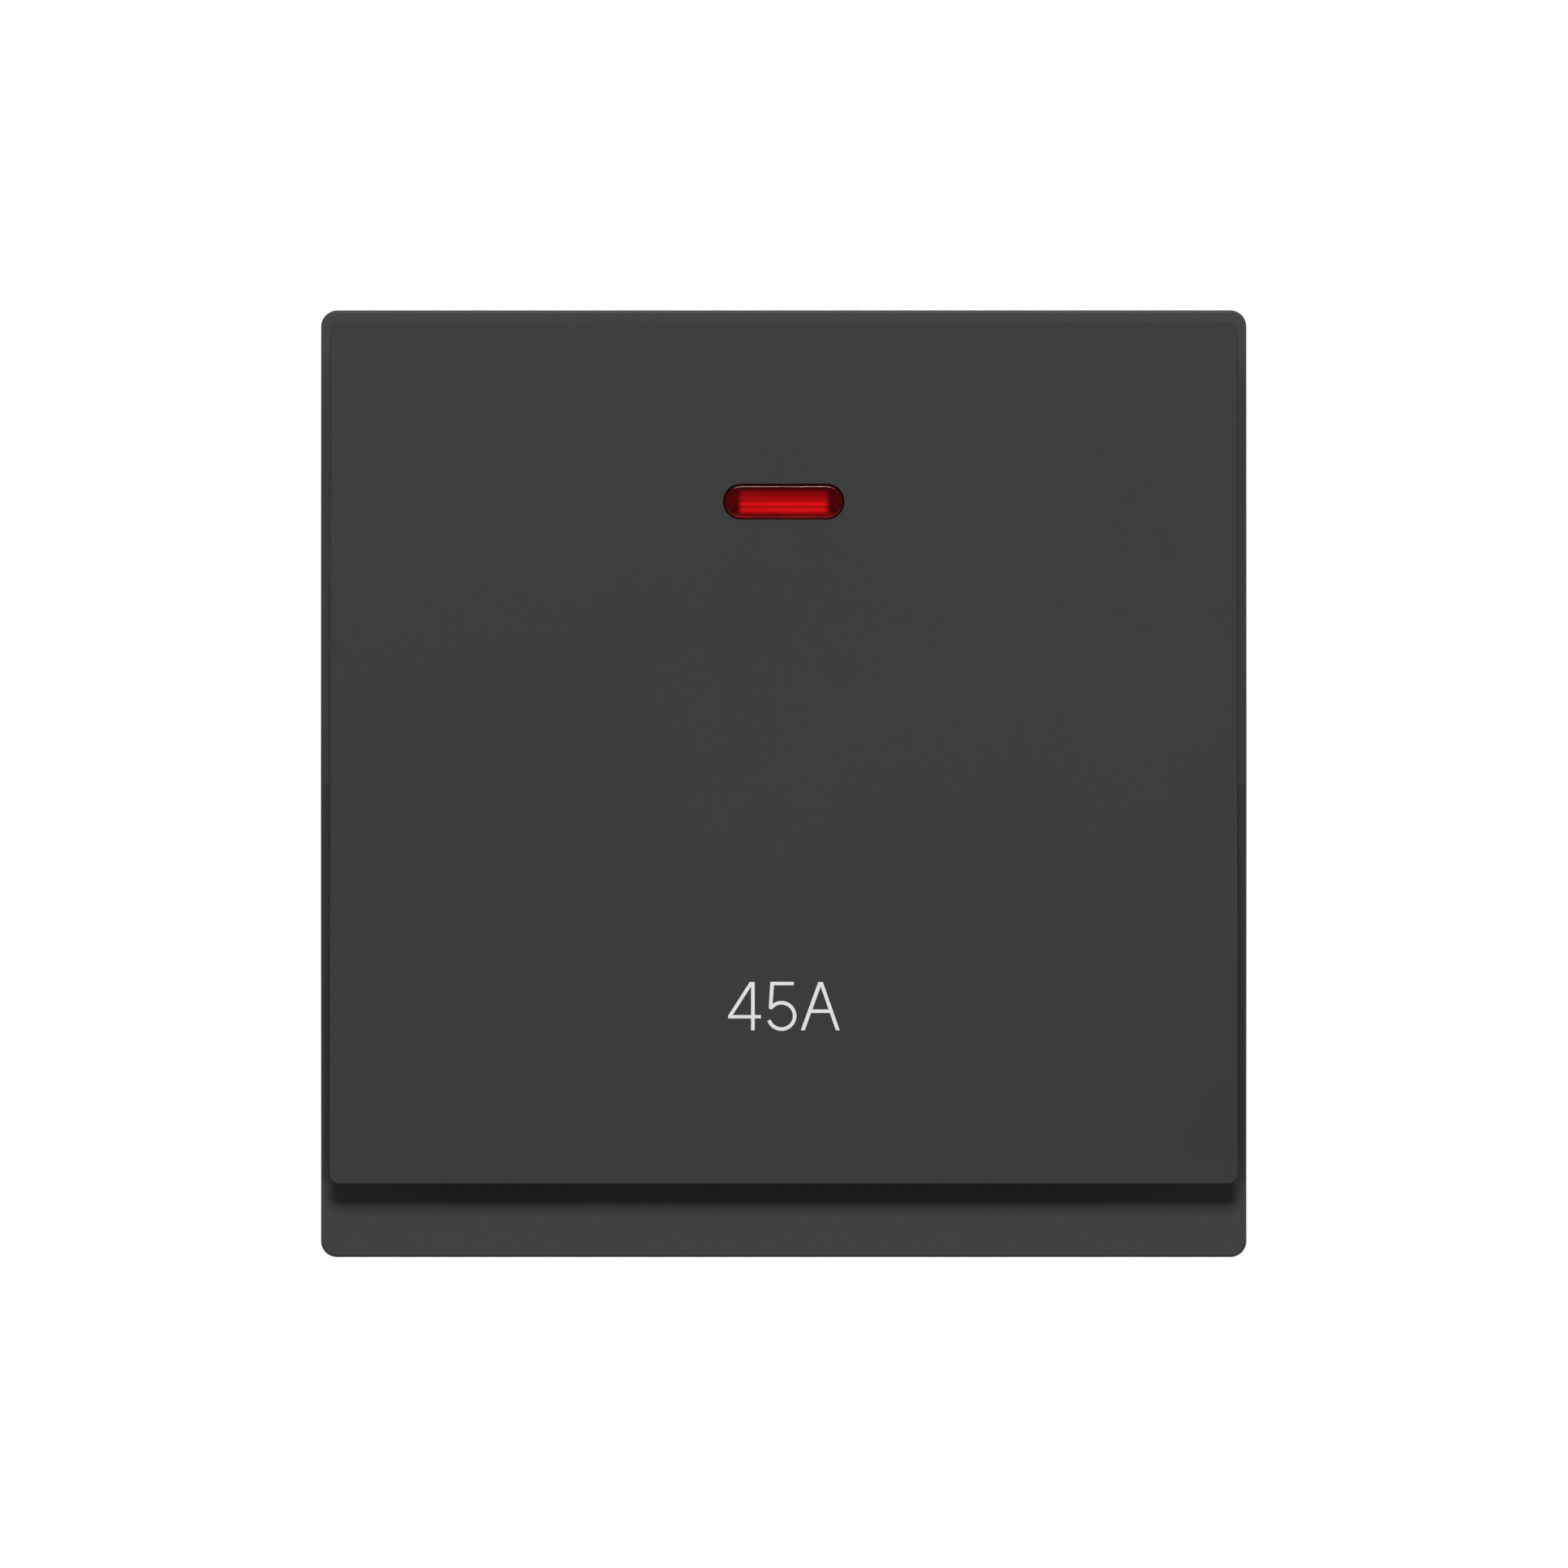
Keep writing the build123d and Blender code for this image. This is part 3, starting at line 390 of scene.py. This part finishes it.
def painted_glow_sheet():
    """Red sheet with a painted glow in place of the lamp's light: it fades upwards, with a painted bright
    line for each electrode.
    """
    look = Shader("lens_painted_glow")
    x, _, z = look.parts(look.coords)
    foot, head = (in_lens(0, side * GLOW_SHEET_HALF_HEIGHT, -GLOW_SHEET_BELOW_FACE).z for side in (-1, 1))
    up = look.spread(z, (0, 1), (foot, head))
    light = look.ramp(up, [(place, (level, level, level)) for place, level in GLOW_LEVELS], "EASE")
    for place, level in PAINTED_ELECTRODE_LINES:
        away = look.maths("ABSOLUTE", look.maths("SUBTRACT", up, place))
        light = look.maths("ADD", light, look.spread(away, (level, 0), (0, LINE_HALF_WIDTH)))
    fade = [share * GLOW_SHEET_HALF_WIDTH for share in GLOW_FADE]
    inward = look.spread(look.maths("ABSOLUTE", x), (1, 0), fade)
    grain = look.noise(900, detail=2.0, roughness=0.5, vector=look.stretched((0.2, 1, 1)))
    strength = look.spread(grain, (0.96 * GLOW_STRENGTH, 1.04 * GLOW_STRENGTH))
    return look.surface(
        Base_Color=look.blend(look.spread(grain, (0, 1)), (0.1, 0.004, 0.005), (0.13, 0.006, 0.007)),
        Roughness=look.spread(grain, (0.45, 0.6)),
        # Painted glow: emission that stands in for the lamp's light
        Emission_Color=PAINTED_NEON_GLOW,
        Emission_Strength=look.product(light, strength, inward),
    )


# Materials
SLATE = (0.0272, 0.0272, 0.0274)
FRONT_FINISH = dict(roughness=0.43, specular=0.145, grain=0.005 * MM, grain_scale=8600)
plate_plastic = moulded("plate_plastic", SLATE, polish=0.9, **FRONT_FINISH)
rocker_plastic = moulded("rocker_plastic", SLATE, polish=0.02, **FRONT_FINISH)
yoke_plastic = moulded("yoke_plastic", (0.055, 0.055, 0.057), 0.5, variation=0.08)
nylon = moulded("nylon", (0.7, 0.68, 0.61), 0.42, variation=0.03, grain=0.006 * MM)
base_plastic = moulded(
    "base_plastic", (0.5, 0.49, 0.455), 0.5, variation=0.04, grain=0.014 * MM, grain_scale=4200
)
brass = metal("brass", (0.76, 0.54, 0.23), (0.42, 0.26, 0.1), 0.3)
silver = metal("silver", (0.86, 0.85, 0.82), (0.55, 0.52, 0.46), 0.28)
copper = metal("copper", (0.78, 0.43, 0.28), (0.4, 0.19, 0.11), 0.32)
zinc = metal("zinc", (0.66, 0.67, 0.68), (0.5, 0.49, 0.42), 0.3, lines=(400, 400, 400))
spring_steel = metal("spring_steel", (0.52, 0.52, 0.53), (0.3, 0.29, 0.28), 0.3)
tinned_wire = metal("tinned_wire", (0.72, 0.72, 0.71), (0.5, 0.49, 0.46), 0.35)

# The finish of each node
finishes = {
    "trim_frame": plate_plastic,
    "rocker_cover": rocker_plastic,
    "indicator_lens": red_lens(),
    "rocker_carrier": nylon,
    "mounting_yoke": yoke_plastic,
    "switch_base": base_plastic,
    "earth_terminal": brass,
    "terminal_screws": zinc,
    "earth_screw": zinc,
    "base_screws": zinc,
    "indicator_lamp": lamp_glass(),
    "lamp_resistor": lacquered_resistor(),
}
for pole in POLES:
    finishes[f"{pole}_plunger"] = nylon
    finishes[f"{pole}_spring"] = spring_steel
    finishes[f"{pole}_blade"] = copper
    finishes[f"{pole}_moving_contact"] = silver
    finishes[f"{pole}_fixed_contact"] = silver
    finishes[f"{pole}_load_terminal"] = brass
    finishes[f"{pole}_supply_terminal"] = brass
    finishes[f"{pole}_lamp_lead"] = tinned_wire
for name, node in nodes.items():
    node.data.materials.clear()
    node.data.materials.append(finishes[name])


def new_piece(name, build, material, body):
    """A piece from a closed bmesh, dressed and riding on a body."""
    bmesh.ops.recalc_face_normals(build, faces=build.faces)
    mesh = bpy.data.meshes.new(name)
    build.to_mesh(mesh)
    build.free()
    piece = bpy.data.objects.new(name, mesh)
    scene.collection.objects.link(piece)
    mesh.materials.append(material)
    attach(piece, body)
    return piece


def prism(build, loops, place, bottom, top):
    """Add a flat shape to a bmesh: an outline and its holes, between two heights of a placing function."""
    flat = [[Vector((x, y, 0)) for x, y in loop] for loop in loops]
    triangles = tessellate_polygon(flat)
    points = [point for loop in flat for point in loop]
    lower = [build.verts.new(place(p.x, p.y, bottom)) for p in points]
    upper = [build.verts.new(place(p.x, p.y, top)) for p in points]
    for triangle in triangles:
        build.faces.new([upper[i] for i in triangle])
        build.faces.new([lower[i] for i in reversed(triangle)])
    start = 0
    for loop in loops:
        count = len(loop)
        for i in range(count):
            a, b = start + i, start + (i + 1) % count
            build.faces.new((lower[a], lower[b], upper[b], upper[a]))
        start += count


def arc(centre, radius, start, end, steps=48):
    """Points along an arc, from one angle to another in degrees."""
    turns = [radians(start + (end - start) * i / steps) for i in range(steps + 1)]
    return [(centre[0] + radius * cos(t), centre[1] + radius * sin(t)) for t in turns]


# The printed rating: plain strokes on the rocker, in pixels right and up from the left end of its baseline
INK_LEFT_PX = 897.2
INK_BASE_PX = 1269.2
INK_DEPTH = 0.01 * MM
INK_PROUD = 0.015 * MM
FOUR = [
    [(28.3, 0), (32.7, 0), (32.7, 14.6), (40.4, 14.6), (40.4, 18.7), (32.7, 18.7), (32.7, 59.4),
     (26.6, 59.4), (0, 17.9), (0, 14.6), (28.3, 14.6)],
    [(5.6, 18.7), (28.3, 18.7), (28.3, 54.1)],
]
BOWL_CENTRE = (65.7, 17.7)
BOWL_OUTER = 18.4
BOWL_INNER = 14.0
FIVE = [
    [(52.0, 59.6), (80.8, 59.6), (80.8, 55.5), (56.5, 55.5), *arc(BOWL_CENTRE, BOWL_OUTER, 127, -161),
     *arc(BOWL_CENTRE, BOWL_INNER, -161, 146), (50.1, 26.7)],
]
LETTER_A = [
    [(89.5, 0), (94.4, 0), (102.1, 21.4), (125.2, 21.4), (132.7, 0), (137.4, 0), (116.6, 59.4),
     (111.0, 59.4)],
    [(103.7, 25.6), (123.7, 25.6), (113.9, 53.8)],
]


def in_print(x, y, out):
    """A point of the print from its place in pixels and its height out of the rocker's face."""
    right = metres(INK_LEFT_PX + x - PLATE_CENTRE_PX[0])
    level = metres(PLATE_CENTRE_PX[1] - INK_BASE_PX + y)
    return on_rocker(right, up_rocker(level, face_height + out), face_height + out)


build = bmesh.new()
for glyph in (FOUR, FIVE, LETTER_A):
    prism(build, glyph, in_print, -INK_DEPTH, INK_PROUD)
new_piece("rating_print", build, printed_ink(), "rocker")

# The sheet in the lens's pocket that carries the painted glow
CORNER_SIDES = ((-1, -1), (1, -1), (1, 1), (-1, 1))
corners = [(right * GLOW_SHEET_HALF_WIDTH, up * GLOW_SHEET_HALF_HEIGHT) for right, up in CORNER_SIDES]
build = bmesh.new()
prism(build, [corners], in_lens, -GLOW_SHEET_BELOW_FACE - GLOW_SHEET_THICKNESS, -GLOW_SHEET_BELOW_FACE)
new_piece("lens_painted_glow", build, painted_glow_sheet(), "rocker")

# Plunger springs: coiled wire with closed ends, built in place of each spring part, which is hidden
SPRING_TURNS = 5
SPRING_CLOSED_TURNS = 0.75
SPRING_WIRE = 0.3 * MM
SPRING_CLOSED_PITCH = 2.08 * SPRING_WIRE
PITCH_CHANGE_TURNS = 0.3
STEPS_PER_TURN = 40
WIRE_SIDES = 12


def coiled_wire(pole_axis, radius, bottom, top):
    """A compression spring about an axis of the rocker, between two heights above its pivot."""
    length = top - bottom - 2 * SPRING_WIRE
    closed = 2 * SPRING_CLOSED_TURNS
    open_pitch = (length - closed * SPRING_CLOSED_PITCH) / (SPRING_TURNS - closed)
    build = bmesh.new()
    rings = []
    height = bottom + SPRING_WIRE
    steps = SPRING_TURNS * STEPS_PER_TURN
    sides = [2 * pi * i / WIRE_SIDES for i in range(WIRE_SIDES)]
    for step in range(steps + 1):
        turn = 2 * pi * step / STEPS_PER_TURN
        outward = Vector((cos(turn), 0, 0)) + face_up * sin(turn)
        centre = pole_axis + outward * radius + face_out * height
        ring = [centre + (outward * cos(side) + face_out * sin(side)) * SPRING_WIRE for side in sides]
        rings.append([build.verts.new(point) for point in ring])
        from_end = min(step + 0.5, steps - step - 0.5) / STEPS_PER_TURN
        opened = (from_end - SPRING_CLOSED_TURNS) / PITCH_CHANGE_TURNS + 0.5
        opened = min(1, max(0, opened))
        height += (SPRING_CLOSED_PITCH + (open_pitch - SPRING_CLOSED_PITCH) * opened) / STEPS_PER_TURN
    for ring, following in zip(rings, rings[1:]):
        for i in range(WIRE_SIDES):
            j = (i + 1) % WIRE_SIDES
            build.faces.new((ring[i], ring[j], following[j], following[i])).smooth = True
    build.faces.new(rings[0])
    build.faces.new(rings[-1])
    return build


for pole in POLES:
    spring, slide = f"{pole}_spring", f"{pole}_plunger_slide"
    low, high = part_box(spring)
    pole_axis = Vector(((low.x + high.x) / 2, pivot.y, pivot.z))
    heights = [(v.co - pole_axis).dot(face_out) for v in nodes[spring].data.vertices]
    bottom, top = min(heights), max(heights)
    coil = coiled_wire(pole_axis, (high.x - low.x) / 2 - SPRING_WIRE, bottom, top)
    piece = new_piece(f"{spring}_coil", coil, spring_steel, "rocker")
    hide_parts(spring)
    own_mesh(piece)

# Camera: a long lens straight in front, framed as the photograph is
CAMERA_DISTANCE = 4.0
PLATE_FRONT = 8 * MM
SENSOR = 36.0
camera_data = bpy.data.cameras.new("camera")
camera_data.sensor_width = SENSOR
camera_data.lens = SENSOR * CAMERA_DISTANCE / metres(PIXELS)
camera_data.clip_start = 0.05
camera_data.clip_end = 50
camera = bpy.data.objects.new("camera", camera_data)
scene.collection.objects.link(camera)
camera.location = (
    metres(PIXELS / 2 - PLATE_CENTRE_PX[0]),
    -PLATE_FRONT - CAMERA_DISTANCE,
    metres(PLATE_CENTRE_PX[1] - PIXELS / 2),
)
camera.rotation_euler = (pi / 2, 0, 0)
scene.camera = camera
scene.view_settings.view_transform = "Standard"


# Lamps: a soft key above the camera, a weak fill at each side, one behind and one overhead
def softbox(name, azimuth, elevation, distance, size, power, glossy=True):
    """A soft lamp aimed at the switch, at an azimuth right of the camera and an elevation, in degrees."""
    light = bpy.data.lights.new(name, "AREA")
    light.shape = "RECTANGLE"
    light.size, light.size_y = size
    light.energy = power
    lamp = bpy.data.objects.new(name, light)
    scene.collection.objects.link(lamp)
    turn, lift = radians(azimuth), radians(elevation)
    lamp.location = Vector((sin(turn) * cos(lift), -cos(turn) * cos(lift), sin(lift))) * distance
    lamp.rotation_euler = (-lamp.location).to_track_quat("-Z", "Y").to_euler()
    lamp.visible_camera = False
    lamp.visible_glossy = glossy


softbox("key", azimuth=0.0, elevation=26.3, distance=2.0, size=(0.5, 0.48), power=25.0)
softbox("left", azimuth=-65.0, elevation=5.0, distance=1.2, size=(0.5, 0.7), power=3.0, glossy=False)
softbox("right", azimuth=65.0, elevation=5.0, distance=1.2, size=(0.5, 0.7), power=3.6, glossy=False)
softbox("rear", azimuth=200.0, elevation=32.0, distance=1.4, size=(0.7, 0.7), power=12.0)
softbox("overhead", azimuth=180.0, elevation=85.0, distance=1.2, size=(0.8, 0.8), power=1.6)

# World: the strength of its even fill, and of the room that faces the switch in reflections
FILL = 0.105
ROOM = 0.05


def studio_world():
    """White to the camera and through glass, with an even fill and white reflections only from behind."""
    world = bpy.data.worlds.new("studio")
    world.use_nodes = True
    tree = world.node_tree
    tree.nodes.clear()
    add, link = tree.nodes.new, tree.links.new

    def background(strength=1.0):
        node = add("ShaderNodeBackground")
        node.inputs["Color"].default_value = (1, 1, 1, 1)
        node.inputs["Strength"].default_value = strength
        return node

    def choose(ray, others, chosen):
        """One background for rays of a kind, and another for all others."""
        node = add("ShaderNodeMixShader")
        link(rays.outputs[ray], node.inputs[0])
        link(others.outputs[0], node.inputs[1])
        link(chosen.outputs[0], node.inputs[2])
        return node

    rays = add("ShaderNodeLightPath")
    direction = add("ShaderNodeSeparateXYZ")
    link(add("ShaderNodeTexCoord").outputs["Generated"], direction.inputs[0])
    behind = add("ShaderNodeMapRange")
    behind.interpolation_type = "SMOOTHSTEP"
    for socket, value in (("From Min", 0.0), ("From Max", 0.6), ("To Min", ROOM), ("To Max", 1.0)):
        behind.inputs[socket].default_value = value
    link(direction.outputs["Y"], behind.inputs["Value"])
    reflected = background()
    link(behind.outputs["Result"], reflected.inputs["Strength"])
    sky = choose("Is Glossy Ray", background(FILL), reflected)
    sky = choose("Is Transmission Ray", sky, background())
    sky = choose("Is Camera Ray", sky, background())
    link(sky.outputs[0], add("ShaderNodeOutputWorld").inputs["Surface"])
    return world


scene.world = studio_world()

# Floor: a pale disc well below the switch that fades into the white and keeps the shadow
FLOOR_HEIGHT = -0.12
FLOOR_RADIUS = 0.6
FLOOR_FADE = (0.1, 0.5)


def floor_paint():
    """Pale paint that fades to white away from the middle, and is clear from below."""
    look = Shader("floor_paint")

    def mixed(factor, first, second):
        node = look.add("ShaderNodeMixShader")
        for socket, source in enumerate((factor, first, second)):
            look.join(source, node.inputs[socket])
        return node.outputs[0]

    grain = look.noise(30)
    look.surface(
        Base_Color=look.blend(look.spread(grain, (0, 1)), (0.84, 0.84, 0.84), (0.88, 0.88, 0.88)),
        Roughness=0.7,
        Specular_IOR_Level=0.2,
    )
    distance = look.add("ShaderNodeVectorMath", operation="LENGTH")
    look.put(distance, 0, look.coords)
    fade = look.spread(distance.outputs["Value"], (0, 1), FLOOR_FADE)
    rays = look.add("ShaderNodeLightPath").outputs
    seen = look.maths("MAXIMUM", rays["Is Camera Ray"], rays["Is Glossy Ray"])
    seen = look.maths("MAXIMUM", seen, rays["Is Transmission Ray"])
    white = look.add("ShaderNodeEmission").outputs[0]
    clear = look.add("ShaderNodeBsdfTransparent").outputs[0]
    from_below = look.add("ShaderNodeNewGeometry").outputs["Backfacing"]
    faded = mixed(look.product(fade, seen), look.bsdf.outputs[0], white)
    look.join(mixed(from_below, faded, clear), look.tree.nodes["Material Output"].inputs["Surface"])
    return look.material


build = bmesh.new()
bmesh.ops.create_circle(build, cap_ends=True, radius=FLOOR_RADIUS, segments=96)
mesh = bpy.data.meshes.new("floor")
build.to_mesh(mesh)
build.free()
mesh.materials.append(floor_paint())
floor = bpy.data.objects.new("floor", mesh)
floor.location.z = FLOOR_HEIGHT
scene.collection.objects.link(floor)
